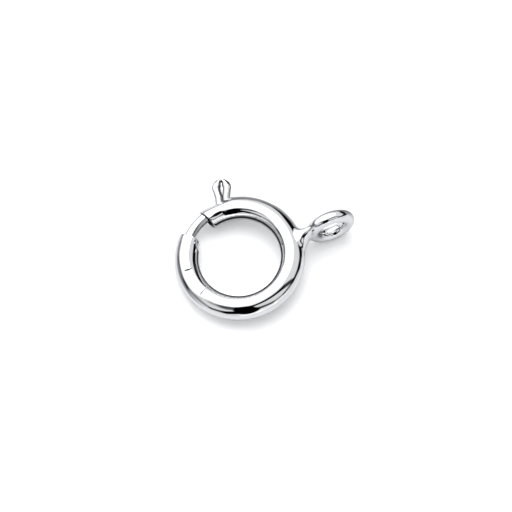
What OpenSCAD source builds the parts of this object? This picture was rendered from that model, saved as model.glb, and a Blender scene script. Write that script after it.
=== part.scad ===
// A spring ring clasp, also called a bolt ring: a hollow C of tube with an attaching loop
// soldered to its outside, and a sprung wire tongue that closes the gap in the C.
// Millimetres and degrees. The origin is the centre of the ring, about which the tongue slides.
// Angles round the ring run anticlockwise, seen from above, from the attaching loop at zero.

/* [Ring tube] */
// Outside diameter of the ring
ring_d = 6; // [5.5:0.1:7]
// Outside diameter of the tube that the ring is bent from
tube_d = 1.12; // [1.1:0.01:1.2]
// Wall of the tube
tube_wall = 0.15; // [0.13:0.01:0.16]
// Angle round the ring of the upper end of the tube
mouth_angle = 110.5; // [104:0.5:113]
// Gap between the two ends of the tube, in degrees
gap_angle = 28; // [24:0.5:32]
// Depth, towards the tube's middle, of the bevel on the inner corner of its far end
lead_in_depth = 0.16; // [0.1:0.01:0.26]
// Length of that bevel along the tube
lead_in_length = 0.6; // [0.3:0.01:0.8]

/* [Pressed flat] */
// Angle round the ring where the pressed flat begins
flat_start_angle = 177.5; // [172:0.5:184]
// Length of the pressed flat, in degrees
flat_angle = 32.5; // [26:0.5:36]
// Depth of the flat below the top of the tube
flat_depth = 0.05; // [0.03:0.01:0.08]

/* [Attaching loop] */
// Outside diameter of the attaching loop
loop_d = 2.32; // [2.1:0.01:2.5]
// Diameter of the loop's wire
loop_wire_d = 0.6; // [0.5:0.01:0.64]
// Space between the tube and the loop, bridged by solder
solder_gap = 0.24; // [0.16:0.01:0.28]
// How far the loop swings round from straight out of the ring, seen from above
loop_skew_angle = 2.4; // [0:0.1:4]
// How far the loop leans over, about the line out from the ring
loop_lean_angle = 3.5; // [0:0.5:5]
// Diameter of the bead of solder that joins the loop to the tube
bead_d = 0.86; // [0.8:0.01:0.94]
// How deep the middle of the bead is set below the outside of the tube
bead_set = 0.06; // [0:0.01:0.1]

/* [Tongue] */
// Diameter of the tongue's wire
tongue_d = 0.5; // [0.44:0.01:0.54]
// Running clearance between the tongue and the outer side of the bore
tongue_clearance = 0.04; // [0.03:0.01:0.06]
// How far the tip of the tongue reaches into the far end of the tube, in degrees
tip_reach_angle = 8; // [5:0.5:12]
// Angle round the ring where the tail of the tongue ends
tail_angle = 30; // [26:1:34]

/* [Trigger] */
// Angle round the ring of the trigger when the tongue is closed
trigger_angle = 85.5; // [82:0.5:88]
// How far the trigger turns back to open the gap, in degrees
trigger_travel = 40; // [34:1:42]
// Width of the trigger along the ring
trigger_w = 0.9; // [0.84:0.01:0.98]
// Height of the trigger above the tube
trigger_h = 0.95; // [0.85:0.01:1.1]
// Diameter of the wire in the trigger's bend
bend_wire_d = 0.37; // [0.34:0.01:0.38]
// Diameter of the wire in the trigger's two limbs
limb_wire_d = 0.35; // [0.32:0.01:0.37]
// Distance between the middles of the two limbs where they leave the tongue
limb_foot_gap = 0.33; // [0.3:0.01:0.34]
// Clearance on each side of the trigger in its slot
slot_clearance = 0.04; // [0.03:0.01:0.06]

/* [Spring] */
// Diameter of the spring's wire
spring_wire_d = 0.11; // [0.08:0.01:0.12]
// Clearance between the spring and the bore
spring_clearance = 0.03; // [0.02:0.01:0.05]
// Clearance at each end of the spring
spring_end_gap = 0.04; // [0.02:0.01:0.06]
// Number of turns of the spring
spring_turns = 24; // [18:1:26]

/* [Hidden] */
$fn = 96;
full_turn = 360;
half_turn = 180;
quarter_turn = 90;
// Overlap that carries a cut past the surface it opens
over = 0.2;
silver = "silver";
steel = "lightsteelblue";

tube_r = tube_d / 2;
bore_r = tube_r - tube_wall;
ring_r = ring_d / 2;
ring_centre_r = ring_r - tube_r;
far_mouth_angle = mouth_angle + gap_angle;
tube_sweep_angle = full_turn - gap_angle;

flat_end_angle = flat_start_angle + flat_angle;
// The tube is pressed shut under the flat, between two stops set in from its ends
stop_inset_angle = flat_angle / 8;
tip_stop_angle = flat_start_angle + stop_inset_angle;
spring_stop_angle = flat_end_angle - stop_inset_angle;
spring_run_angle = full_turn + mouth_angle - spring_stop_angle;

loop_wire_r = loop_wire_d / 2;
loop_r = loop_d / 2;
loop_centre_r = loop_r - loop_wire_r;
loop_reach = solder_gap + loop_r;
bead_r = bead_d / 2;

tongue_r = tongue_d / 2;
tongue_centre_r = ring_centre_r + bore_r - tongue_clearance - tongue_r;
tip_angle = far_mouth_angle + tip_reach_angle;

bend_r = trigger_w / 2 - bend_wire_d / 2;
bend_x = ring_r + trigger_h - trigger_w / 2;
limb_run = bend_x - tongue_centre_r;
// The limbs lean in from the bend to their feet, and the bend turns on until it meets them
limb_lean = atan2(bend_r - limb_foot_gap / 2, limb_run);
slot_h = max(bend_wire_d, limb_wire_d) + 2 * slot_clearance;
// Half of the angle that the trigger and its clearance take up at the surface of the tube
slot_margin_angle = asin((trigger_w / 2 + slot_clearance) / ring_r);
slot_start_angle = trigger_angle - trigger_travel - slot_margin_angle;
slot_end_angle = trigger_angle + slot_margin_angle;

spring_r = bore_r - spring_clearance - spring_wire_d / 2;
// The end gaps are turned into degrees at the ring's centre line
spring_end_angle = (spring_end_gap + spring_wire_d / 2) / ring_centre_r * half_turn / PI;
spring_from = spring_stop_angle - full_turn + spring_end_angle;
spring_to = tail_angle - spring_end_angle;
spring_steps = 10;
spring_sides = 5;

// The clasp lies on the loop and on the side of the ring across from it, so the loop's side
// is lifted until the lowest points of both are level
loop_x = ring_r + loop_reach * cos(loop_skew_angle);
loop_low = loop_centre_r * cos(loop_lean_angle) + loop_wire_r;
rest_tilt = asin((loop_low - tube_r) / (ring_centre_r + loop_x));

// Turns what is drawn flat in the ring's own plane to the way that the clasp lies
module at_rest() {
    rotate([0, -rest_tilt, 0]) children();
}

// A round bar of radius r bent round the ring at radius centre_r, from one angle to another
module bent_bar(r, centre_r, from, to) {
    rotate_extrude(start = from, angle = to - from)
        translate([centre_r, 0]) circle(r);
}

// The loop stands across the ring, so its hole faces along the tube. It was soldered by hand,
// a little out of square
module attaching_loop() {
    translate([ring_r, 0, 0]) rotate([-loop_lean_angle, 0, loop_skew_angle])
        translate([loop_reach, 0, 0]) rotate([quarter_turn, 0, 0])
            rotate_extrude() translate([loop_centre_r, 0]) circle(loop_wire_r);
}

// A bead of solder that laps the tube and takes in the near side of the loop
module solder_bead() {
    translate([ring_r - bead_set, 0, 0]) sphere(bead_r);
}

// The bore holds the tongue and the spring on one side of the pressed part and the tongue's
// tip on the other
module bores() {
    bent_bar(bore_r, ring_centre_r, mouth_angle - spring_run_angle, far_mouth_angle);
    bent_bar(bore_r, ring_centre_r, mouth_angle, tip_stop_angle);
}

// Cut through the outer wall that the trigger travels in. Between it and the mouth the lips of
// the slot are pressed together, which stops the trigger
module trigger_slot() {
    rotate_extrude(start = slot_start_angle, angle = slot_end_angle - slot_start_angle)
        translate([ring_centre_r, -slot_h / 2]) square([tube_r + over, slot_h]);
}

module pressed_flat() {
    rotate_extrude(start = flat_start_angle, angle = flat_angle)
        translate([ring_centre_r - tube_r - over, tube_r - flat_depth])
            square([tube_d + 2 * over, flat_depth + over]);
}

// Opens the inner corner of the far end, so that a link slips in
module lead_in_bevel() {
    // The bevel's slope runs on past both walls, so that it leaves no skin
    past_depth = over * lead_in_depth / lead_in_length;
    rotate(far_mouth_angle) translate([ring_centre_r - tube_r, 0, -tube_r - over])
        linear_extrude(tube_d + 2 * over) polygon([
            [-past_depth, -over],
            [lead_in_depth + past_depth, -over],
            [-past_depth, lead_in_length + over]
        ]);
}

module case() {
    color(silver) at_rest() difference() {
        union() {
            bent_bar(tube_r, ring_centre_r, far_mouth_angle, far_mouth_angle + tube_sweep_angle);
            attaching_loop();
            solder_bead();
        }
        bores();
        trigger_slot();
        pressed_flat();
        lead_in_bevel();
    }
}

// One limb of the trigger, from inside the end of the bend down to the middle of the tongue
module trigger_limb(side) {
    bend_end = [bend_x - bend_r * sin(limb_lean), side * bend_r * cos(limb_lean), 0];
    limb_lap = bend_wire_d / 8;
    translate(bend_end) rotate([0, 0, side * limb_lean]) rotate([0, -quarter_turn, 0])
        translate([0, 0, -limb_lap])
            cylinder(r = limb_wire_d / 2, h = limb_lap + limb_run / cos(limb_lean));
}

// A pinched loop of the tongue's wire that stands out through the slot
module trigger() {
    rotate(trigger_angle) {
        translate([bend_x, 0, 0])
            bent_bar(bend_wire_d / 2, bend_r, -quarter_turn - limb_lean, quarter_turn + limb_lean);
        for (side = [-1, 1]) trigger_limb(side);
    }
}

module tongue() {
    color(silver) at_rest() {
        bent_bar(tongue_r, tongue_centre_r, tail_angle, tip_angle);
        trigger();
    }
}

// Places a point of the spring's wire: t runs from 0 to 1 along the spring and side goes round
// the wire's own section
function spring_point(t, side) = let(
    round_ring = spring_from + t * (spring_to - spring_from),
    round_coil = t * spring_turns * full_turn,
    round_wire = side * full_turn / spring_sides,
    wire_r = spring_wire_d / 2,
    coil_r = spring_r + wire_r * cos(round_wire),
    out = ring_centre_r + coil_r * cos(round_coil),
    along = wire_r * sin(round_wire)
) [
    out * cos(round_ring) - along * sin(round_ring),
    out * sin(round_ring) + along * cos(round_ring),
    coil_r * sin(round_coil)
];

module spring() {
    rings = spring_turns * spring_steps;
    last = rings * spring_sides;
    points = [for (i = [0 : rings]) for (side = [0 : spring_sides - 1]) spring_point(i / rings, side)];
    walls = [for (i = [0 : rings - 1]) for (side = [0 : spring_sides - 1]) let(
        a = i * spring_sides + side,
        b = i * spring_sides + (side + 1) % spring_sides
    ) [a, b, b + spring_sides, a + spring_sides]];
    first_cap = [[for (side = [spring_sides - 1 : -1 : 0]) side]];
    last_cap = [[for (side = [0 : spring_sides - 1]) last + side]];
    color(steel) at_rest() polyhedron(points, concat(walls, first_cap, last_cap), convexity = 10);
}

case();
tongue();
spring();
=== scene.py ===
"""A spring ring clasp of polished silver, lying on a white table.

A hollow C of tube holds a sprung wire tongue, which a pinched trigger draws back to open the gap.
An attaching loop stands across the tube and is soldered to it. Shapes are worked out in
millimetres and radians, in the ring's own plane, and made_piece lays them down in metres.
Angles round the ring run anticlockwise, seen from above, from the attaching loop at zero.
"""
import math

import bmesh
import bpy
import numpy as np
from mathutils import Matrix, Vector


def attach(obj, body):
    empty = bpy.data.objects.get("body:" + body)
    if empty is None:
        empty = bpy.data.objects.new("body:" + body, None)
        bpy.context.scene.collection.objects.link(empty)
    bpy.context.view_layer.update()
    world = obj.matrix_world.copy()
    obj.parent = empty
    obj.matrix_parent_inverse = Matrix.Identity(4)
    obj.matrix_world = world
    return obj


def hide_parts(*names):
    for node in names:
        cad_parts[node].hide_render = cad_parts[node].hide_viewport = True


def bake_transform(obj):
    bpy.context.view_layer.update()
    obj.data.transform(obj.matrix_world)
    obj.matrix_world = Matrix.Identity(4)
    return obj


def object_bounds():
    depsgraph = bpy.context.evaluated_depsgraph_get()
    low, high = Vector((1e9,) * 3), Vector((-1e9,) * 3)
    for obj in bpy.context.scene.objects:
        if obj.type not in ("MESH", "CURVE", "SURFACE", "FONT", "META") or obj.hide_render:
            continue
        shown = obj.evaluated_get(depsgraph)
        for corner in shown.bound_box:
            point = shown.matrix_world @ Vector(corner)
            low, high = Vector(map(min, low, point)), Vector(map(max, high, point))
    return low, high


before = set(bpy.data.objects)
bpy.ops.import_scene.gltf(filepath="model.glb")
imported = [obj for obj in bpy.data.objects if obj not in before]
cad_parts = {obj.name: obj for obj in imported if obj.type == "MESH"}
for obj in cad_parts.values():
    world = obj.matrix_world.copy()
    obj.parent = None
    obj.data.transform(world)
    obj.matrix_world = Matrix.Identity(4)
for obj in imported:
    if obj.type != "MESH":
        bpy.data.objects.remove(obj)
cad_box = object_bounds()

MM = 0.001
PI = math.pi
TAU = 2 * math.pi
MERGE = 1e-8


def rad(degrees):
    return math.radians(degrees)


# Ring tube
RING_D = 6.0
TUBE_D = 1.12
TUBE_WALL = 0.15
MOUTH_ANGLE = rad(110.5)
GAP_ANGLE = rad(28)
CROWN_IN = 0.08
SHOULDER_IN = 0.09
EDGE_R = 0.025
BODY_SECTIONS = 270
EDGE_SECTIONS = 5
ARC_STEPS = 84
LIP_STEPS = 4

# Far mouth, narrowed and rounded on its inner side: how far it is drawn in, between which places
# along the tube that fades, and which part round the tube is the inner side
NARROWED_DEPTH = 0.1
NARROWED_RUN = (0.02, 0.6)
INNER_SIDE = (rad(100), rad(165))
LEAD_IN_DEPTH = 0.11
LEAD_IN_LENGTH = 0.2
LEAD_IN_FADE = 1.2

# Pressed flat, and the painted dark reflection line in the step at each of its ends
FLAT_START_ANGLE = rad(177.5)
FLAT_ANGLE = rad(32.5)
FLAT_DEPTH = 0.05
FLAT_END_RUN = 0.1
FLAT_HEADING = rad(85)
FLAT_SOFT = 0.006
FLAT_START_SHADE = 1.0
FLAT_END_SHADE = 0.7
FLAT_SHADE_MIDDLE = 0.15
FLAT_SHADE_DEPTH = 0.012

# Where the tube was gripped, its inner side is flattened a little: the angles round the ring at
# which a flat begins, is full, begins to fade and is gone, its heading, and how far out it lies
INNER_FLATS = (
    (rad(120), rad(121), rad(208), rad(210), rad(113), 0.56),
    (rad(120), rad(121), rad(208), rad(210), rad(132), 0.554),
    (rad(176), rad(184), rad(207), rad(210), rad(124), 0.5565),
    (rad(426), rad(436), rad(450), rad(460), rad(130), 0.5605),
    (rad(449), rad(454), rad(459), rad(471), rad(115), 0.563),
)

# Lips of the slot, pressed together between the trigger and the mouth. The dent is deepest where
# they meet the trigger, and the mouth is cut a little out of square and turned in
PINCH_HALF_ANGLE = rad(17)
PINCH_DEPTH = 0.21
PINCH_INNER_DEPTH = 0.1
PINCH_KEPT = 0.3
PINCH_SOFT = 0.002
PINCH_POWER = 1.25
PINCH_FADE = (rad(30), rad(85))
SEAM_LEAD = rad(6)
SEAM_HALF_GAP = 0.004
SEAM_EDGE_R = 0.018
MOUTH_SKEW = rad(1.5)
MOUTH_SKEW_FADE = rad(12)
MOUTH_TURN_IN = 0.06
MOUTH_TURN_RUN = 0.2
# Painted shade on the upper mouth's end face, over its last sections
MOUTH_SHADE = (0.3, 0.8, 1)

# Attaching loop, its solder, and the painted shade in its hole on the solder's side: how strong it is,
# where round the loop it fades, and where round the wire it begins and is full
LOOP_D = 2.32
LOOP_WIRE_D = 0.6
LOOP_SKEW_ANGLE = rad(2.4)
LOOP_LEAN_ANGLE = rad(3.5)
SOLDER_GAP = 0.24
SOLDER_ABOVE = rad(12)
SOLDER_BELOW = rad(16)
SOLDER_ROUND_TUBE = rad(58)
SOLDER_UP_LOOP = rad(46)
SOLDER_DOWN_LOOP = rad(18)
SOLDER_ROUND_WIRE = rad(64)
HOLE_SHADE = 0.85
HOLE_SHADE_FADE = (rad(25), rad(60))
HOLE_SHADE_SIDE = (0.35, 0.75)

# Tongue. Painted shade covers its side towards the ring's axis, and a painted dark reflection line runs
# near its top; their places are shares of the wire's radius, in from the wire's middle
TONGUE_D = 0.5
TONGUE_CLEARANCE = 0.04
TIP_REACH_ANGLE = rad(8)
TAIL_ANGLE = rad(30)
WIRE_STEP = rad(1)
TONGUE_SHADE = 0.42
TONGUE_SHADE_SIDE = (0.48, 0.58)
TONGUE_LINE_AT = 0.06
TONGUE_LINE_REACH = 0.1
TONGUE_LINE_SHARE = 0.6

# Trigger and its slot
TRIGGER_ANGLE = rad(85.5)
TRIGGER_TRAVEL = rad(40)
TRIGGER_W = 0.9
TRIGGER_H = 0.95
TRIGGER_LEAN = rad(8)
TRIGGER_SHIFT = 0.02
TRIGGER_RAISED = 0.03
TRIGGER_BEVEL = 0.06
TRIGGER_BEVEL_SOFT = 0.02
TRIGGER_BEVEL_HEADINGS = (rad(56), rad(124))
BEND_WIRE_D = 0.37
BEND_TOP_THICKNESS = 0.14
BEND_SQUEEZE_POWER = 6
LIMB_WIRE_D = 0.35
LIMB_FOOT_GAP = 0.33
LIMBS_MEET_AT = 0.46
EYE_NARROWED = 0.012
SLOT_CLEARANCE = 0.04

# Painted dark reflection on the trigger's outer edge and painted shade in its eye, which begin above
# its foot. On the outer edge it is less on the limb nearer the mouth, and reaches farther in at the top
# of the bend
TRIGGER_SHADE_FROM = (0.1, 0.3)
EDGE_SHADE = 0.6
EDGE_SHADE_FADE = (0.03, 0.09)
EDGE_SHADE_LESS = 0.6
EDGE_SHADE_LESS_BY = 0.25
EDGE_SHADE_AT_TOP = 0.55
EYE_SHADE = 0.7
EYE_SHADE_SIDE = (0.25, 0.7)

# Spring
SPRING_WIRE_D = 0.11
SPRING_CLEARANCE = 0.03
SPRING_END_GAP = 0.04
SPRING_TURNS = 24

# Camera: where it stands round the clasp and above the floor, and where it points in its own
# picture plane, in millimetres right and up of the ring's centre
VIEW_AZIMUTH = rad(-18)
VIEW_ELEVATION = rad(69.2)
VIEW_SCALE = 21.84
VIEW_RIGHT = 0.742
VIEW_UP = 0.078
PICTURE_SIDE = 512
LENS = 200.0
SENSOR = 36.0
NEAREST = 0.001
FARTHEST = 10

# Table, half its side in metres. The camera sees it white, with a painted glow that lightens its
# shadows. The metal sees a painted reflection: the table grey on one side, farther than some
# millimetres from the middle, and dark amid the ring
TABLE_HALF_SIDE = 0.6
TABLE_WHITE = (0.92, 0.92, 0.925, 1)
TABLE_MET = (0.74, 0.74, 0.75, 1)
TABLE_GREY = (0.22, 0.22, 0.23, 1)
TABLE_GREY_SIDE = (-0.5, 0.87)
TABLE_GREY_TURN = (-0.4, 0.1)
TABLE_GREY_FROM = (4, 8)
TABLE_DARK = (0.02, 0.02, 0.02, 1)
TABLE_DARK_WITHIN = (1.3, 1.7)
TABLE_GLOW = (0.2, 0.2, 0.2, 1)
TABLE_ROUGHNESS = 0.9
TABLE_SHINE = 0.1
BLACK = (0, 0, 0, 1)
WHITE = (1, 1, 1, 1)

# Light of the white tent, of a broad softbox and of the lamp in it. A place in the tent is in
# degrees from straight overhead, first to the right and then away from the camera's side
TENT_COLOUR = (0.985, 0.99, 1, 1)
TENT_STRENGTH = 0.78
SOFTBOX_PLACE = (-33, 24)
SOFTBOX_REACH = (46, 64)
SOFTBOX_STRENGTH = 0.5
LAMP_PLACE = (0, 21)
LAMP_REACH = (8, 32)
LAMP_STRENGTH = 3.2
TINY = 1e-6

# Strips of the tent, as the polished metal sees them: both ends, the half width at each, how soft
# the edge is, and how much of the light the strip takes away. The first rows are the camera's own
# dark shape and the lines that run out from it, then comes the tent's dark rim, and the last
# three are lighter strips beyond it
TENT_STRIPS = (
    ((-5, -35), (-3, -47), 9.5, 13, 1.5, 1.0),
    ((-3, -47), (4, -59), 13, 16.5, 2, 1.0),
    ((-60, -27), (-36, -30), 5, 6, 4, 0.3),
    ((-36, -30), (-22, -36), 6, 9, 5, 0.55),
    ((-22, -36), (-10, -40), 9, 9, 4, 0.75),
    ((-28, -29), (-12, -31), 2, 4, 3, 0.7),
    ((4, -30), (15, -22), 5, 6, 2, 1.0),
    ((15, -22), (29, -16), 6, 6, 2, 1.0),
    ((29, -16), (62, -14), 6, 4, 2, 0.95),
    ((74, 28), (48, 62), 10, 13, 3, 0.97),
    ((48, 62), (37, 78), 12, 9, 3, 0.97),
    ((37, 78), (22, 87), 8, 7, 3, 0.8),
    ((22, 87), (-10, 90), 7, 8, 4, 0.6),
    ((-10, 90), (-34, 84), 8, 8, 4, 0.55),
    ((-77, 45), (-87, 24), 5, 7, 4, 0.8),
    ((-87, 24), (-82, -15), 9, 9, 4, 0.85),
    ((-82, -15), (-51, -58), 11, 5, 4, 0.65),
    ((-51, -58), (-27, -65), 5, 8, 3, 0.9),
    ((-27, -65), (-4, -60), 8, 10, 2, 1.0),
    ((15, -51), (36, -47), 6, 4, 3, 0.95),
    ((36, -47), (53, -33), 4, 3, 2.5, 0.75),
    ((53, -33), (64, -14), 4, 6, 2.5, 0.9),
    ((64, -14), (73, 8), 6, 8, 2.5, 0.97),
    ((73, 8), (74, 32), 9, 10, 4, 0.95),
    ((0, -84), (26, -72), 8, 6, 4, -0.35),
    ((26, -72), (50, -56), 6, 5, 3, -0.3),
    ((50, -56), (66, -38), 5, 5, 3, -0.25),
)

# Polished metal: how its tone drifts, which ways its fine scratches run, its waves, and what each of
# them and the painted shade add to its roughness. Scales are in features for each millimetre
# Colour of the painted shade and dark reflections, and the roughness that the painted shade adds
PAINTED_SHADE_COLOUR = (0.06, 0.058, 0.06, 1)
PAINTED_SHADE_ROUGH = 0.25
DRIFT_SCALE = 0.9
DRIFT_DETAIL = 3.0
DRIFT_TURN = (0.4, 0.72)
DRIFT_ROUGH = 0.02
SCRATCH_WAYS = ((1, 14, 6), (12, 1, 8), (5, 9, 1))
SCRATCH_SCALE = 6.0
SCRATCH_BROKEN = 0.6
SCRATCH_TURN = (0.6, 0.76)
SCRATCH_STRENGTH = 0.6
SCRATCH_ROUGH = 0.03
WAVE_SCALE = 1.3
WAVE_DETAIL = 1.0

tube_r = TUBE_D / 2
bore_r = tube_r - TUBE_WALL
ring_r = RING_D / 2
ring_centre_r = ring_r - tube_r
far_mouth_angle = MOUTH_ANGLE + GAP_ANGLE
last_mouth_angle = MOUTH_ANGLE + TAU

flat_end_angle = FLAT_START_ANGLE + FLAT_ANGLE
stop_inset_angle = FLAT_ANGLE / 8
tip_stop_angle = FLAT_START_ANGLE + stop_inset_angle
spring_stop_angle = flat_end_angle - stop_inset_angle

loop_wire_r = LOOP_WIRE_D / 2
loop_r = LOOP_D / 2
loop_centre_r = loop_r - loop_wire_r
loop_reach = SOLDER_GAP + loop_r

tongue_r = TONGUE_D / 2
tongue_centre_r = ring_centre_r + bore_r - TONGUE_CLEARANCE - tongue_r
tip_angle = far_mouth_angle + TIP_REACH_ANGLE

bend_r = TRIGGER_W / 2 - BEND_WIRE_D / 2
bend_x = ring_r + TRIGGER_H - TRIGGER_W / 2
limb_run = bend_x - tongue_centre_r
slot_half_h = max(BEND_WIRE_D, LIMB_WIRE_D) / 2 + SLOT_CLEARANCE
slot_margin_angle = math.asin((TRIGGER_W / 2 + SLOT_CLEARANCE) / ring_r)
slot_start_angle = TAU + TRIGGER_ANGLE - TRIGGER_TRAVEL - slot_margin_angle
slot_end_angle = TAU + TRIGGER_ANGLE + slot_margin_angle

# Where the tube's sections are closer: an angle, how far before and after it, and their step
CLOSER_SECTIONS = (
    (far_mouth_angle, 0, rad(14), rad(0.5)),
    (FLAT_START_ANGLE, rad(0.6), rad(1.4), rad(0.12)),
    (flat_end_angle, rad(1.4), rad(0.6), rad(0.12)),
    (slot_start_angle, rad(0.6), rad(6), rad(0.2)),
    (slot_end_angle, rad(6), rad(3), rad(0.2)),
)
LEAST_STEP = rad(0.1)

# The clasp lies on the loop and on the side of the ring across from it
loop_x = ring_r + loop_reach * math.cos(LOOP_SKEW_ANGLE)
loop_low = loop_centre_r * math.cos(LOOP_LEAN_ANGLE) + loop_wire_r
rest_tilt = math.asin((loop_low - tube_r) / (ring_centre_r + loop_x))

view_right = np.array([math.cos(VIEW_AZIMUTH), math.sin(VIEW_AZIMUTH), 0.0])
view_near = np.array([math.sin(VIEW_AZIMUTH), -math.cos(VIEW_AZIMUTH), 0.0])
view_back = view_near * math.cos(VIEW_ELEVATION) + np.array([0.0, 0.0, math.sin(VIEW_ELEVATION)])
view_up = np.cross(view_back, view_right)


def smooth_step(low, high, x):
    """Rises from 0 at low to 1 at high, level at both: 3t squared less 2t cubed."""
    t = np.clip((x - low) / (high - low), 0, 1)
    return t * t * (3 - 2 * t)


def turned(x, y, angle):
    """The pair turned by the angle, from x towards y."""
    c, s = math.cos(angle), math.sin(angle)
    return x * c - y * s, x * s + y * c


def uneven(ahead, behind, swing):
    """Ahead where swing is 1 and behind where it is -1, in step with swing between."""
    return (ahead + behind) / 2 + (ahead - behind) / 2 * swing


def round_ring(out, angle, up):
    """The point out from the ring's axis and up from its plane, turned to the angle."""
    return np.stack([out * np.cos(angle), out * np.sin(angle), up + 0 * out], axis=-1)


def as_it_lies(points):
    """Lifts the loop's side by rest_tilt, about the ring's own Y."""
    x, z = turned(points[:, 0], points[:, 2], rest_tilt)
    return np.stack([x, points[:, 1], z], axis=-1)


def crowned(x, z):
    """Draws the tube in towards the ring's axis, as bending does: by CROWN_IN at its top and
    bottom, and by up to SHOULDER_IN more where it is farther out."""
    return x - (z / tube_r) ** 2 * (CROWN_IN + SHOULDER_IN * x / tube_r)


def standing_out(x, z, heading, reach):
    """How far a point stands out past reach along the heading."""
    return x * math.cos(heading) + z * math.sin(heading) - reach


def pressed_level(x, z, heading, reach, share=1.0, soft=FLAT_SOFT):
    """Takes away the share of what stands out past reach along the heading, which leaves a flat
    there: d is turned to (d + root of (d squared + soft squared)) / 2, so the edges are rounded."""
    past = standing_out(x, z, heading, reach)
    taken = share * (past + np.sqrt(past ** 2 + soft ** 2)) / 2
    return x - taken * math.cos(heading), z - taken * math.sin(heading)


def grid_quads(rows, columns, wrap_rows=False):
    """Quads of a grid whose points are numbered row by row, and whose rows are closed rings. They
    face along row x column. With wrap_rows the last row joins the first."""
    index = np.arange(rows * columns).reshape(rows, columns)
    index = np.concatenate([index, index[:, :1]], axis=1)
    if wrap_rows:
        index = np.concatenate([index, index[:1]], axis=0)
    corners = [index[:-1, :-1], index[1:, :-1], index[1:, 1:], index[:-1, 1:]]
    return np.stack(corners, axis=-1).reshape(-1, 4)


def made_piece(name, shells, material):
    """Joins closed shells into one smooth object and merges equal points. A shell is its points and
    groups of faces, and may also give how much painted shade each point gets, from 0 to 1."""
    points = np.concatenate([as_it_lies(shell[0]) for shell in shells]) * MM
    starts = np.cumsum([0] + [len(shell[0]) for shell in shells])
    painted_shade = [shell[2] if len(shell) > 2 else np.zeros(len(shell[0])) for shell in shells]
    faces = []
    for shell, start in zip(shells, starts):
        for group in shell[1]:
            faces.extend((np.asarray(group) + start).tolist())
    mesh = bpy.data.meshes.new(name)
    mesh.from_pydata(points, [], faces)
    # Painted shade and dark reflections, kept as an attribute that the metal mixes into its colour
    layer = mesh.attributes.new("painted_shade", "FLOAT", "POINT")
    layer.data.foreach_set("value", np.concatenate(painted_shade).astype(np.float32))
    work = bmesh.new()
    work.from_mesh(mesh)
    bmesh.ops.remove_doubles(work, verts=work.verts, dist=MERGE)
    work.to_mesh(mesh)
    work.free()
    mesh.shade_smooth()
    mesh.materials.append(material)
    piece = bpy.data.objects.new(name, mesh)
    bpy.context.scene.collection.objects.link(piece)
    return piece


def swept_bar(centres, across, up, radius, sides=40):
    """A bar whose section at each centre is a circle of that radius, from across towards up. It
    comes to a point where the radius is 0."""
    turn = np.arange(sides) / sides * TAU
    ring = (np.cos(turn)[None, :, None] * (radius[:, None] * across)[:, None, :]
            + np.sin(turn)[None, :, None] * (radius[:, None] * up)[:, None, :])
    points = (centres[:, None, :] + ring).reshape(-1, 3)
    return points, [grid_quads(len(centres), sides)]


def rounded_run(length, cap, middle_steps, cap_steps=8):
    """Places along a bar of that length and the share of its full thickness at each: both ends
    are quarter ellipses, cap long."""
    turn = np.linspace(0, PI / 2, cap_steps + 1)
    end_places = cap * (1 - np.cos(turn))
    end_shares = np.sin(turn)
    middle = np.linspace(cap, length - cap, middle_steps + 1)[1:-1]
    places = np.concatenate([end_places, middle, length - end_places[::-1]])
    shares = np.concatenate([end_shares, np.ones(len(middle)), end_shares[::-1]])
    return places, shares


def bent_wire(wire_r, centre_r, start, end, cap, darker=0.0):
    """A round wire bent round the ring at centre_r, with rounded ends. Its side towards the ring's axis
    gets painted shade, as much as darker says, and a painted dark reflection line near its top gets a
    share of that."""
    length = (end - start) * centre_r
    places, shares = rounded_run(length, cap, int((end - start) / WIRE_STEP))
    angle = start + places / centre_r
    out = round_ring(np.ones_like(angle), angle, 0)
    up = np.broadcast_to([0.0, 0.0, 1.0], out.shape)
    points, faces = swept_bar(centre_r * out, up, out, wire_r * shares)
    # Painted shade on the side towards the ring's axis, and a painted dark reflection line near the top
    inward = (centre_r - np.hypot(points[:, 0], points[:, 1])) / wire_r
    line = np.clip(1 - np.abs(inward - TONGUE_LINE_AT) / TONGUE_LINE_REACH, 0, 1)
    painted_shade = darker * (smooth_step(*TONGUE_SHADE_SIDE, inward) + TONGUE_LINE_SHARE * line)
    return points, faces, painted_shade


def tube_stations():
    """Angles round the ring of the tube's sections, and how far its edges are rounded off at
    each: the edge of both mouths is a quarter circle."""
    turn = np.linspace(0, PI / 2, EDGE_SECTIONS)
    edge_angle = EDGE_R * (1 - np.cos(turn)) / ring_centre_r
    first, last = far_mouth_angle + edge_angle[-1], last_mouth_angle - edge_angle[-1]
    closer = [np.arange(at - before, at + after, step)
              for at, before, after, step in CLOSER_SECTIONS]
    body = np.concatenate([np.linspace(first, last, BODY_SECTIONS), *closer])
    body = np.unique(np.round(body, 4))
    body = body[(body > first + LEAST_STEP) & (body < last - LEAST_STEP)]
    upper_edge = last_mouth_angle - edge_angle[::-1]
    angle = np.concatenate([far_mouth_angle + edge_angle, body, upper_edge])
    edge = EDGE_R * (1 - np.sin(turn))
    shrink = np.concatenate([edge, np.zeros(len(body)), edge[::-1]])
    return angle, shrink


def slot_opening(angle, shrink):
    """Which sections the slot has opened, half its height at each, and the radius of its lips'
    edges. Both ends of the slot are half circles, and from the second on its lips meet in a
    seam that runs to the mouth."""
    run = np.minimum(angle - slot_start_angle, slot_end_angle - angle) * ring_r / slot_half_h
    half_h = slot_half_h * np.sqrt(1 - (1 - np.clip(run, 0, 1)) ** 2)
    opened = angle > slot_start_angle
    seamed = angle > slot_end_angle - SEAM_LEAD
    half_h = np.where(seamed, np.maximum(half_h, SEAM_HALF_GAP), half_h)
    lip_edge = np.where(seamed, SEAM_EDGE_R, np.minimum(EDGE_R, half_h / 2))
    return opened, np.where(opened, half_h + shrink, 0), lip_edge


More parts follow.
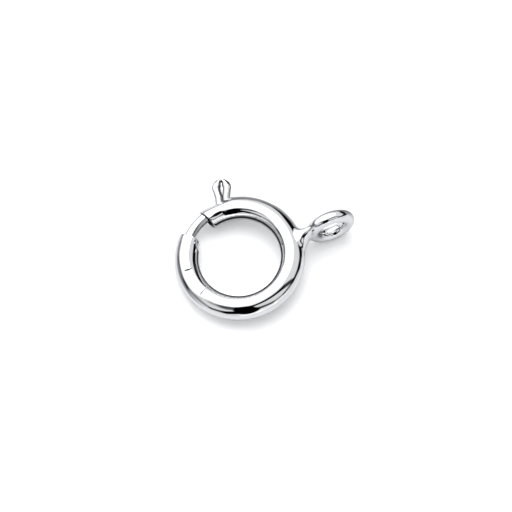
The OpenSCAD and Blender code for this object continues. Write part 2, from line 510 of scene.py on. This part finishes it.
def wall_section(shrink, slot_half, lip_edge):
    """One closed outline of the tube's wall per station, from the outer arc round both lips of
    the slot and the inner arc: x is out from the tube's middle and z is up. Every corner of a lip
    is an arc of radius lip_edge, whose centre lies that far inside the lip and the wall."""
    a = (tube_r - shrink)[:, None]
    b = (bore_r + shrink)[:, None]
    h = slot_half[:, None]
    edge = lip_edge[:, None]
    outer = np.arcsin((h + edge) / (a - edge))
    inner = np.arcsin((h + edge) / (b + edge))
    round_arc = np.linspace(0, 1, ARC_STEPS + 1)[None, :]
    part = np.arange(1, LIP_STEPS + 1)[None, :] / LIP_STEPS
    early = part - 1 / LIP_STEPS

    def arc(radius, angle):
        return radius * np.cos(angle), radius * np.sin(angle)

    def corner(radius, centre_angle, heading):
        x = radius * np.cos(centre_angle) + edge * np.cos(heading)
        z = radius * np.sin(centre_angle) + edge * np.sin(heading)
        return x, z

    pieces = [
        arc(a, outer + (TAU - 2 * outer) * round_arc),
        corner(a - edge, -outer, -outer + (PI / 2 + outer) * part),
        corner(b + edge, -inner, PI / 2 + (PI / 2 - inner) * early),
        arc(b, TAU - inner - (TAU - 2 * inner) * round_arc),
        corner(b + edge, inner, PI + inner + (PI / 2 - inner) * part),
        corner(a - edge, outer, 1.5 * PI + (PI / 2 + outer) * early),
    ]
    return np.concatenate([x for x, _ in pieces], 1), np.concatenate([z for _, z in pieces], 1)


def gripped(x, z, angle):
    """Presses the flat into the top of the tube, down by a smooth step at each end, and flattens the
    inner side where the tube was held. Amid the fall of each step, where what the flat took away stood
    out, a painted dark reflection line is laid."""
    end_run = FLAT_END_RUN / ring_centre_r
    started = smooth_step(FLAT_START_ANGLE, FLAT_START_ANGLE + end_run, angle)
    ended = smooth_step(flat_end_angle - end_run, flat_end_angle, angle)
    # Painted dark reflection lines amid the fall of each step
    steps = (FLAT_START_SHADE * smooth_step(0, FLAT_SHADE_MIDDLE, started * (1 - started))
             + FLAT_END_SHADE * smooth_step(0, FLAT_SHADE_MIDDLE, ended * (1 - ended)))
    level = tube_r - FLAT_DEPTH
    painted_shade = steps * smooth_step(0, FLAT_SHADE_DEPTH, standing_out(x, z, FLAT_HEADING, level))
    x, z = pressed_level(x, z, FLAT_HEADING, level, started * (1 - ended))
    for start, full, fading, gone, heading, reach in INNER_FLATS:
        share = smooth_step(start, full, angle) * (1 - smooth_step(fading, gone, angle))
        x, z = pressed_level(x, z, heading, reach, share)
    return x, z, painted_shade


def dented(x, round_tube, outer_side, angle):
    """Presses the slot's lips in. The dent grows over PINCH_HALF_ANGLE to the slot's end, keeps
    PINCH_KEPT of its depth to the mouth, and fades round the tube, less deep in the bore."""
    past = angle - slot_end_angle
    mouth_run = last_mouth_angle - slot_end_angle
    near = 1 - np.sqrt((past / PINCH_HALF_ANGLE) ** 2 + PINCH_SOFT)
    rise = np.clip(near, 0, 1) ** PINCH_POWER
    kept = 1 - (1 - PINCH_KEPT) * np.clip(past / mouth_run, 0, 1)
    depth = np.where(outer_side, PINCH_DEPTH, PINCH_INNER_DEPTH)
    return x - depth * np.where(past < 0, rise, kept) * (1 - smooth_step(*PINCH_FADE, round_tube))


def upper_mouth(x, angle):
    """Turns the upper mouth in by a quarter ellipse, MOUTH_TURN_RUN long, and swings its sections
    out of square: round the ring in step with x."""
    to_mouth = last_mouth_angle - angle
    turning = np.clip(1 - to_mouth * ring_centre_r / MOUTH_TURN_RUN, 0, 1)
    x = x * (1 - MOUTH_TURN_IN / tube_r * (1 - np.sqrt(1 - turning ** 2)))
    skewed = np.clip(1 - to_mouth / MOUTH_SKEW_FADE, 0, 1)
    return x, angle + MOUTH_SKEW * x / tube_r * skewed


def far_mouth(x, round_tube, angle):
    """Draws the far mouth's inner side in by NARROWED_DEPTH, and sets its edge back there by a
    quarter ellipse, LEAD_IN_DEPTH deep and LEAD_IN_LENGTH long."""
    along = (angle - far_mouth_angle) * ring_centre_r
    inner_side = smooth_step(*INNER_SIDE, round_tube)
    x = x + NARROWED_DEPTH * inner_side * (1 - smooth_step(*NARROWED_RUN, along))
    in_from_side = np.clip(1 - (tube_r - NARROWED_DEPTH + x) / LEAD_IN_DEPTH, 0, 1)
    length = LEAD_IN_LENGTH * (1 - np.sqrt(1 - in_from_side ** 2))
    return x, angle + length * np.clip(1 - along / LEAD_IN_FADE, 0, 1) ** 2 / ring_centre_r


def ring_tube():
    """The hollow C: wall sections carried round the ring, and pressed, dented and rounded as the
    functions above say. The bore and the upper mouth's end face get painted shade, and the flat's steps
    painted dark reflection lines."""
    angle, shrink = tube_stations()
    opened, slot_half, lip_edge = slot_opening(angle, shrink)
    x, z = wall_section(shrink, slot_half, lip_edge)
    rows, columns = x.shape
    outer_side = np.hypot(x, z) > (tube_r + bore_r) / 2
    angle = np.broadcast_to(angle[:, None], x.shape)
    x, z, step_shade = gripped(crowned(x, z), z, angle)
    round_tube = np.abs(np.arctan2(z, x))
    x = dented(x, round_tube, outer_side, angle)
    x, angle = upper_mouth(x, angle)
    x, angle = far_mouth(x, round_tube, angle)
    points = round_ring(ring_centre_r + x, angle, z).reshape(-1, 3)

    last_outer, first_inner = ARC_STEPS, ARC_STEPS + 1 + 2 * LIP_STEPS
    last_inner = first_inner + ARC_STEPS
    lips = np.zeros(columns, bool)
    lips[last_outer:first_inner] = True
    lips[last_inner:] = True
    shut = ~(opened[:-1] | opened[1:])
    quads = grid_quads(rows, columns).reshape(rows - 1, columns, 4)
    walls = quads[~(shut[:, None] & lips[None, :])]
    step = np.arange(ARC_STEPS)
    cap = np.stack([step, step + 1, last_inner - step - 1, last_inner - step], axis=-1)
    far = columns * (rows - 1)
    lower_lip = np.arange(last_outer, first_inner + 1)
    upper_lip = np.append(np.arange(last_inner, columns), 0)
    lip_caps = [far + lip[None, ::-1] for lip in (lower_lip, upper_lip)]

    # Painted shade in the bore and on the upper mouth's end face, and the flat's painted lines
    in_bore = np.zeros(columns)
    in_bore[first_inner:last_inner + 1] = 1
    at_mouth = np.zeros((rows, 1))
    at_mouth[-len(MOUTH_SHADE):, 0] = MOUTH_SHADE
    painted_shade = np.maximum(np.maximum(in_bore, at_mouth), step_shade)
    return points, [walls, cap, far + cap[:, ::-1], *lip_caps], painted_shade.reshape(-1)


def pressed_stop():
    """Solid metal where the tube is pressed shut under the flat, lapping into the wall."""
    lap = TUBE_WALL / 4
    return bent_wire(bore_r + lap, ring_centre_r, tip_stop_angle, spring_stop_angle, lap)


def on_loop_surface(u, v, depth=0.0):
    """A point of the loop, depth under its surface: the wire's middle goes round by u in the
    plane of X and Z, and its surface round that by v. Then it leans over and swings round."""
    wire_r = loop_wire_r - depth
    out = loop_centre_r + wire_r * np.cos(v)
    x = loop_reach + out * np.cos(u)
    y, z = turned(wire_r * np.sin(v) + 0 * u, out * np.sin(u), -LOOP_LEAN_ANGLE)
    x, y = turned(x, y, LOOP_SKEW_ANGLE)
    return np.stack([ring_r + x, y, z], -1)


def attaching_loop(steps=120, sides=48):
    """A round wire closed on itself, standing across the ring. Its hole gets painted shade on the side
    of the solder, where the wire's surface faces into the hole."""
    u = np.arange(steps)[:, None] / steps * TAU
    v = np.arange(sides)[None, :] / sides * TAU
    # Painted shade in the hole, on the solder's side
    by_solder = 1 - smooth_step(*HOLE_SHADE_FADE, np.abs(u - PI))
    painted_shade = HOLE_SHADE * by_solder * smooth_step(*HOLE_SHADE_SIDE, -np.cos(v))
    faces = [grid_quads(steps, sides, wrap_rows=True)[:, ::-1]]
    return on_loop_surface(u, v).reshape(-1, 3), faces, painted_shade.reshape(-1)


def solder_fillet(sides=96, steps=20, sunk_steps=4):
    """Solder drawn up between the tube and the loop. Its skin runs from an oval on the tube to
    an oval on the loop by a cubic that leaves each along that surface, and closes inside both.
    It climbs farther up the loop than down, and reaches farther round the ring below."""
    turn = (np.arange(sides) / sides * TAU)[None, :]
    reach = uneven(SOLDER_ABOVE, SOLDER_BELOW, np.cos(turn))
    climb = uneven(SOLDER_UP_LOOP, SOLDER_DOWN_LOOP, np.sin(turn))

    def on_tube(share, depth):
        round_angle = share * SOLDER_ROUND_TUBE * np.sin(turn)
        x, z = (tube_r - depth) * np.cos(round_angle), (tube_r - depth) * np.sin(round_angle)
        return round_ring(ring_centre_r + crowned(x, z), share * reach * np.cos(turn), z)

    def on_loop(share, depth):
        round_loop = PI - share * climb * np.sin(turn)
        return on_loop_surface(round_loop, share * SOLDER_ROUND_WIRE * np.cos(turn), depth)

    skin_depth, sunk_depth, nudge = 0.003, TUBE_WALL / 2, 0.02
    start, end = on_tube(1, skin_depth), on_loop(1, skin_depth)
    leave = (on_tube(1 - nudge, skin_depth) - start) / nudge
    arrive = (end - on_loop(1 - nudge, skin_depth)) / nudge
    t = np.linspace(0, 1, steps + 1)[:, None, None]
    skin = ((2 * t ** 3 - 3 * t ** 2 + 1) * start + (t ** 3 - 2 * t ** 2 + t) * leave
            + (3 * t ** 2 - 2 * t ** 3) * end + (t ** 3 - t ** 2) * arrive)
    shares = np.linspace(0, 1, sunk_steps + 1)[:, None]
    points = np.concatenate([on_tube(shares, sunk_depth), skin, on_loop(shares[::-1], sunk_depth)])
    return points.reshape(-1, 3), [grid_quads(len(points), sides)[:, ::-1]]


def hairpin(limb_steps=16, bend_steps=64):
    """The trigger's middle line, out and across from the middle of its bend: up one limb, round
    the bend and down the other. The limbs lean in until they meet, and run on side by side. With
    it come the wire's radius, how much of its inner side is squeezed away, by a power of the
    turn's cosine, and how near the bend's top it is, the square of that cosine. The first and
    last points come twice, and the last array is 0 at those ends, which closes them."""
    limb_in = math.atan2(bend_r - LIMB_FOOT_GAP / 2, LIMBS_MEET_AT)
    turn = np.linspace(-PI / 2 - limb_in, PI / 2 + limb_in, bend_steps + 1)
    towards_top = np.clip(np.cos(turn), 0, 1)
    squeezed = (BEND_WIRE_D - BEND_TOP_THICKNESS) / 2 * towards_top ** BEND_SQUEEZE_POWER
    squeezed = squeezed - EYE_NARROWED
    bend = np.stack([(bend_r + squeezed) * np.cos(turn), (bend_r + squeezed) * np.sin(turn)], -1)
    bend_end_out, bend_end_across = bend[-1]

    share = np.linspace(0, 1, limb_steps + 1)[1:]
    down_out = bend_end_out - share * (limb_run + bend_end_out)
    meeting = [-bend_end_out, LIMBS_MEET_AT], [bend_end_across, LIMB_FOOT_GAP / 2]
    down = np.stack([down_out, np.interp(-down_out, *meeting)], -1)
    line = np.concatenate([down[::-1] * [1, -1], bend, down])

    on_limb = np.zeros(limb_steps)
    in_bend = np.concatenate([1 - share[::-1], np.ones(len(bend)), 1 - share])
    wire_r = LIMB_WIRE_D / 2 + (BEND_WIRE_D - LIMB_WIRE_D) / 2 * smooth_step(0, 1, in_bend)
    thinned = np.concatenate([on_limb, squeezed, on_limb])
    at_top = np.concatenate([on_limb, towards_top ** 2, on_limb])
    ends = [0, *range(len(line)), -1]
    closing = np.array([0, *np.ones(len(line)), 0])
    heading = np.gradient(line, axis=0)
    heading /= np.linalg.norm(heading, axis=1, keepdims=True)
    return line[ends], heading[ends], wire_r[ends], thinned[ends], at_top[ends], closing


def placed_on_tongue(pairs, offset=0.0, shift=0.0):
    """Pairs out and across from the middle of the trigger's bend, leant over about it, moved out
    by the offset and turned to the trigger's place on the tongue."""
    x, y = turned(pairs[:, 0], pairs[:, 1] + shift, -TRIGGER_LEAN)
    x, y = turned(offset + x, y, TRIGGER_ANGLE)
    return np.stack([x, y, np.zeros(len(x))], -1)


def trigger_loop(sides=48):
    """A hairpin of wire standing out through the slot. Its section is a circle, squeezed thinner on the
    inner side across the top of the bend, with both upper edges pressed to a bevel. Its outer edge gets
    a painted dark reflection, and its eye painted shade."""
    line, heading, wire_r, thinned, at_top, closing = hairpin()
    section = np.arange(sides) / sides * TAU
    side, rise = np.cos(section), np.sin(section)
    for bevel in TRIGGER_BEVEL_HEADINGS:
        side, rise = pressed_level(side, rise, bevel, 1 - TRIGGER_BEVEL, soft=TRIGGER_BEVEL_SOFT)
    half_across = ((wire_r - thinned) * closing)[:, None]
    half_up = (wire_r * closing)[:, None]
    across = placed_on_tongue(np.stack([heading[:, 1], -heading[:, 0]], -1))
    middle = placed_on_tongue(line, bend_x + TRIGGER_RAISED, TRIGGER_SHIFT)
    points = (middle[:, None, :] + (half_across * side)[..., None] * across[:, None, :]
              + (half_up * rise)[..., None] * np.array([0.0, 0.0, 1.0]))

    # Painted dark reflection on the outer edge and painted shade in the eye, above the foot
    out, off_middle = line[:, :1], line[:, 1:]
    from_edge = (1 - side) * half_across * (1 - EDGE_SHADE_AT_TOP * at_top[:, None])
    edge_shade = EDGE_SHADE * (1 - EDGE_SHADE_LESS * smooth_step(0, EDGE_SHADE_LESS_BY, off_middle))
    edge_shade = edge_shade * (1 - smooth_step(*EDGE_SHADE_FADE, from_edge)) * (side > 0)
    eye_shade = np.clip(EYE_SHADE + off_middle, 0, 1) * smooth_step(*EYE_SHADE_SIDE, -side)
    painted_shade = (eye_shade + edge_shade) * smooth_step(*TRIGGER_SHADE_FROM, limb_run + out)
    return points.reshape(-1, 3), [grid_quads(len(line), sides)[:, ::-1]], painted_shade.reshape(-1)


def spring_coil(steps=32, sides=8):
    """A wire wound on a helix about the ring's own centre line, its angle growing in step with
    the angle round the ring. With it come the centre line's points at its two ends."""
    wire_r = SPRING_WIRE_D / 2
    coil_r = bore_r - SPRING_CLEARANCE - wire_r
    end_angle = (SPRING_END_GAP + wire_r) / ring_centre_r
    start, end = spring_stop_angle - TAU + end_angle, TAIL_ANGLE - end_angle
    rise = (end - start) * ring_centre_r / SPRING_TURNS
    length = SPRING_TURNS * math.hypot(TAU * coil_r, rise)
    places, shares = rounded_run(length, wire_r, SPRING_TURNS * steps, cap_steps=3)
    t = places / length
    ring_angle = start + t * (end - start)
    coil_angle = t * SPRING_TURNS * TAU
    out = round_ring(np.ones_like(t), ring_angle, 0)
    up = np.broadcast_to([0.0, 0.0, 1.0], out.shape)
    away = out * np.cos(coil_angle)[:, None] + up * np.sin(coil_angle)[:, None]
    centres = ring_centre_r * out + coil_r * away
    ahead = np.gradient(centres, axis=0)
    ahead /= np.linalg.norm(ahead, axis=1, keepdims=True)
    side = np.cross(ahead, away)
    side /= np.linalg.norm(side, axis=1, keepdims=True)
    return swept_bar(centres, away, side, wire_r * shares, sides), ring_centre_r * out[[0, -1]]


class Wire:
    """A number that a node gives, for use in Python sums: each operator adds a Math node."""

    def __init__(self, graph, socket):
        self.graph = graph
        self.socket = socket

    def maths(self, operation, *others, clamp=False):
        settings = {"operation": operation, "use_clamp": clamp}
        return self.graph.node("ShaderNodeMath", settings, dict(enumerate((self, *others))))

    def __add__(self, other):
        return self.maths("ADD", other)

    def __radd__(self, other):
        return self.maths("ADD", other)

    def __sub__(self, other):
        return self.maths("SUBTRACT", other)

    def __rsub__(self, other):
        return self.graph.node("ShaderNodeMath", {"operation": "SUBTRACT"}, {0: other, 1: self})

    def __mul__(self, other):
        return self.maths("MULTIPLY", other)

    def __rmul__(self, other):
        return self.maths("MULTIPLY", other)

    def __truediv__(self, other):
        return self.maths("DIVIDE", other)

    def __pow__(self, other):
        return self.maths("POWER", other)

    def clamped(self):
        return self.maths("ADD", 0.0, clamp=True)

    def stepped(self, low, high):
        """Rises smoothly from 0 at low to 1 at high."""
        settings = {"interpolation_type": "SMOOTHSTEP"}
        values = {"Value": self, "From Min": low, "From Max": high}
        return self.graph.node("ShaderNodeMapRange", settings, values)


class Graph:
    """Makes the nodes of one material or world."""

    def __init__(self, owner):
        owner.use_nodes = True
        self.tree = owner.node_tree
        self.tree.nodes.clear()

    def node(self, kind, settings=None, values=None, output=0):
        """Adds a node, sets it up, fills its sockets with values or links, and gives one output."""
        made = self.tree.nodes.new(kind)
        for name, value in (settings or {}).items():
            setattr(made, name, value)
        for key, value in (values or {}).items():
            if isinstance(value, Wire):
                self.tree.links.new(value.socket, made.inputs[key])
            else:
                made.inputs[key].default_value = value
        return Wire(self, made.outputs[output]) if made.outputs else made

    def noise(self, scale, detail=2.0, roughness=0.5, stretch=(1, 1, 1)):
        """Noise on the piece's own coordinates, with scale in features for each millimetre."""
        place = self.node("ShaderNodeTexCoord", output="Object")
        mapped = self.node("ShaderNodeMapping", None, {"Vector": place, "Scale": stretch})
        values = {"Vector": mapped, "Scale": scale / MM, "Detail": detail, "Roughness": roughness}
        return self.node("ShaderNodeTexNoise", None, values)

    def mixed(self, share, first, second):
        settings = {"data_type": "RGBA"}
        return self.node("ShaderNodeMix", settings, {0: share, 6: first, 7: second}, output=2)

    def bump(self, height, distance, strength=1.0, under=None):
        values = {"Height": height, "Distance": distance * MM, "Strength": strength}
        if under is not None:
            values["Normal"] = under
        return self.node("ShaderNodeBump", None, values)

    def along(self, place, direction):
        """How far the place lies along the direction: their dot product."""
        settings = {"operation": "DOT_PRODUCT"}
        values = {0: place, 1: tuple(direction)}
        return self.node("ShaderNodeVectorMath", settings, values, output=1)


def metal(name, pale, darker, polish, scratch, wave):
    """A polished metal: its tone drifts between pale and darker, fine scratches run three ways across
    it, and the surface waves a little from the polishing wheel. It is painted dark, and made rougher,
    as much as its painted shade attribute says."""
    material = bpy.data.materials.new(name)
    graph = Graph(material)
    drift = graph.noise(DRIFT_SCALE, DRIFT_DETAIL)
    # Painted shade and dark reflections, read from the points' attribute, darken the colour
    painted_shade = graph.node("ShaderNodeAttribute", {"attribute_name": "painted_shade"}, output=2)
    tone = graph.mixed(drift.stepped(*DRIFT_TURN), pale, darker)
    tone = graph.mixed(painted_shade, tone, PAINTED_SHADE_COLOUR)
    scratches = None
    for way in SCRATCH_WAYS:
        line = graph.noise(SCRATCH_SCALE, roughness=SCRATCH_BROKEN, stretch=way)
        line = line.stepped(*SCRATCH_TURN)
        scratches = line if scratches is None else scratches + line
    waves = graph.bump(graph.noise(WAVE_SCALE, WAVE_DETAIL), wave)
    skin = graph.bump(scratches, scratch, SCRATCH_STRENGTH, waves)
    rough = polish + scratches * SCRATCH_ROUGH + drift * DRIFT_ROUGH + painted_shade * PAINTED_SHADE_ROUGH
    values = {"Base Color": tone, "Metallic": 1.0, "Roughness": rough, "Normal": skin}
    shader = graph.node("ShaderNodeBsdfPrincipled", None, values)
    graph.node("ShaderNodeOutputMaterial", None, {"Surface": shader})
    return material


def table_top():
    """A pale floor under the clasp, where its lowest points are. The camera sees it white, with a
    painted glow that lightens its shadows. The metal sees a painted reflection: the floor greyer
    farther off, on the side away from the camera and to the left, and darkest amid the ring."""
    size, height = TABLE_HALF_SIDE, float(cad_box[0][2])
    corners = [(x, y, height) for x, y in ((-size, -size), (size, -size), (size, size), (-size, size))]
    mesh = bpy.data.meshes.new("table_top")
    mesh.from_pydata(corners, [], [(0, 1, 2, 3)])
    material = bpy.data.materials.new("white_table")
    graph = Graph(material)
    place = graph.node("ShaderNodeTexCoord", output="Object")
    # Painted reflection: what the metal sees of the table, grey on one side farther off and dark amid
    # the ring
    grey_side = (view_right * TABLE_GREY_SIDE[0] - view_near * TABLE_GREY_SIDE[1]) / MM
    beyond = graph.along(place, grey_side)
    length = {"operation": "LENGTH"}
    off_middle = graph.node("ShaderNodeVectorMath", length, {0: place}, output=1) / MM
    grey = (beyond / off_middle).stepped(*TABLE_GREY_TURN) * off_middle.stepped(*TABLE_GREY_FROM)
    met = graph.mixed(grey, TABLE_MET, TABLE_GREY)
    met = graph.mixed(off_middle.stepped(*TABLE_DARK_WITHIN), TABLE_DARK, met)
    looks = graph.node("ShaderNodeLightPath", output="Is Camera Ray")
    colour = graph.mixed(looks, met, TABLE_WHITE)
    # Painted glow, seen only by the camera, which lightens the table's shadows
    glow = graph.mixed(looks, BLACK, TABLE_GLOW)
    values = {"Base Color": colour, "Roughness": TABLE_ROUGHNESS, "Specular IOR Level": TABLE_SHINE,
              "Emission Color": glow, "Emission Strength": 1.0}
    shader = graph.node("ShaderNodeBsdfPrincipled", None, values)
    graph.node("ShaderNodeOutputMaterial", None, {"Surface": shader})
    mesh.materials.append(material)
    table = bpy.data.objects.new("table_top", mesh)
    bpy.context.scene.collection.objects.link(table)


def add_camera():
    """A long lens, so far off that a millimetre at the ring's centre spans VIEW_SCALE pixels."""
    distance = PICTURE_SIDE * LENS / (SENSOR * VIEW_SCALE)
    place = (view_right * VIEW_RIGHT + view_up * VIEW_UP + view_back * distance) * MM
    data = bpy.data.cameras.new("camera")
    data.lens = LENS
    data.sensor_width = SENSOR
    data.clip_start = NEAREST
    data.clip_end = FARTHEST
    camera = bpy.data.objects.new("camera", data)
    matrix = np.eye(4)
    matrix[:3] = np.stack([view_right, view_up, view_back, place], axis=-1)
    camera.matrix_world = Matrix(matrix.tolist())
    bpy.context.scene.collection.objects.link(camera)
    bpy.context.scene.camera = camera


def add_tent():
    """A white tent lit from all sides. What the camera itself sees past the table is white, and
    the metal sees the tent with its dark rim and strips: a strip is the shape within its half
    width of a line between two places, and takes light away there or adds a little."""
    world = bpy.data.worlds.new("white_tent")
    bpy.context.scene.world = world
    graph = Graph(world)
    seen = graph.node("ShaderNodeTexCoord", output="Generated")
    right, near = graph.along(seen, view_right), graph.along(seen, view_near)
    high = graph.along(seen, (0.0, 0.0, 1.0))
    off_zenith = high.maths("ARCCOSINE") * (180 / PI)
    level = (right * right + near * near + TINY) ** 0.5
    across = off_zenith * right / level
    away = off_zenith * near / level * -1.0

    def off(x, y):
        return ((across - x) ** 2 + (away - y) ** 2) ** 0.5

    light = ((1 - off(*SOFTBOX_PLACE).stepped(*SOFTBOX_REACH)) * SOFTBOX_STRENGTH
             + (1 - off(*LAMP_PLACE).stepped(*LAMP_REACH)) * LAMP_STRENGTH + TENT_STRENGTH)
    for (x0, y0), (x1, y1), half_0, half_1, soft, taken in TENT_STRIPS:
        dx, dy = x1 - x0, y1 - y0
        share = ((across - x0) * (dx / (dx * dx + dy * dy))
                 + (away - y0) * (dy / (dx * dx + dy * dy))).clamped()
        off_line = ((across - x0 - share * dx) ** 2 + (away - y0 - share * dy) ** 2) ** 0.5
        half = share * (half_1 - half_0) + half_0
        light = light * (1 - (half - off_line).stepped(-soft, soft) * taken)
    tent = graph.node("ShaderNodeBackground", None, {"Color": TENT_COLOUR, "Strength": light})
    plain = graph.node("ShaderNodeBackground", None, {"Color": WHITE, "Strength": 1.0})
    looks = graph.node("ShaderNodeLightPath", output="Is Camera Ray")
    shader = graph.node("ShaderNodeMixShader", None, {0: looks, 1: tent, 2: plain})
    graph.node("ShaderNodeOutputWorld", None, {"Surface": shader})
    bpy.context.scene.view_settings.view_transform = "Standard"


add_camera()

silver = metal("polished_silver", pale=(0.9, 0.903, 0.915, 1), darker=(0.86, 0.865, 0.88, 1),
               polish=0.02, scratch=0.0001, wave=0.001)
wire_silver = metal("polished_silver_wire", pale=(0.88, 0.883, 0.895, 1), darker=(0.82, 0.825, 0.84, 1),
                    polish=0.03, scratch=0.00015, wave=0.001)
steel = metal("spring_steel", pale=(0.55, 0.56, 0.58, 1), darker=(0.45, 0.46, 0.48, 1),
              polish=0.16, scratch=0.0006, wave=0.0)

case = made_piece("ring_case", [ring_tube(), pressed_stop(), attaching_loop(), solder_fillet()], silver)
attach(case, "case")
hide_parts("case")

tongue_wire = bent_wire(tongue_r, tongue_centre_r, TAIL_ANGLE, tip_angle, tongue_r / 2, TONGUE_SHADE)
tongue = made_piece("sprung_tongue", [tongue_wire, trigger_loop()], wire_silver)
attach(tongue, "tongue")
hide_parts("tongue")

coil, coil_ends = spring_coil()
spring = made_piece("coil_spring", [coil], steel)
coil_ends = as_it_lies(coil_ends) * MM
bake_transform(spring)
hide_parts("spring")

table_top()
add_tent()
